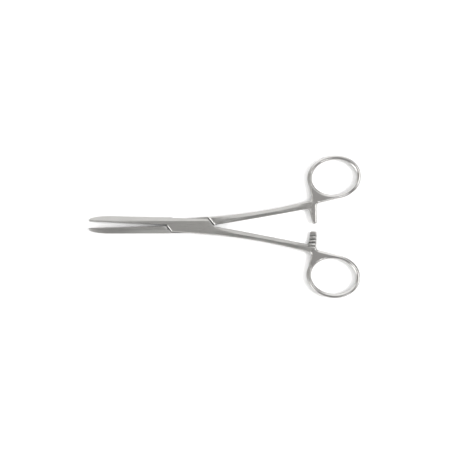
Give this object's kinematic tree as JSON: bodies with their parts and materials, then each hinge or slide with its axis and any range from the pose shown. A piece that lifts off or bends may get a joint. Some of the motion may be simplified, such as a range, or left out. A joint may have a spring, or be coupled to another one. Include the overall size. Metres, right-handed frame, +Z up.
{
  "type": "hemostat forceps",
  "caption": "Straight locking surgical clamp: serrated jaws, box lock, slender shanks, finger rings and ratchet arms.",
  "frame": {"origin": "on the pivot's axis, at the level of the box lock's underside, on which the forceps lie", "axes": "+Z up along the pivot, -X towards the jaws' tips, +X towards the finger rings, +Y towards the ring of tongue_half"},
  "size_m": [0.1593, 0.0834, 0.005],
  "materials": {
    "steel": "satin"
  },
  "bodies": {
    "box_body": {"box_half": "steel", "pivot_pin": "steel"},
    "tongue_body": {"tongue_half": "steel"}
  },
  "joints": [
    {"name": "lock_pivot", "type": "hinge", "parent": "box_body", "child": "tongue_body", "pos_m": [0, 0, 0], "axis": [0, 0, 1], "range_deg": [-3.8, 56.2]}
  ]
}
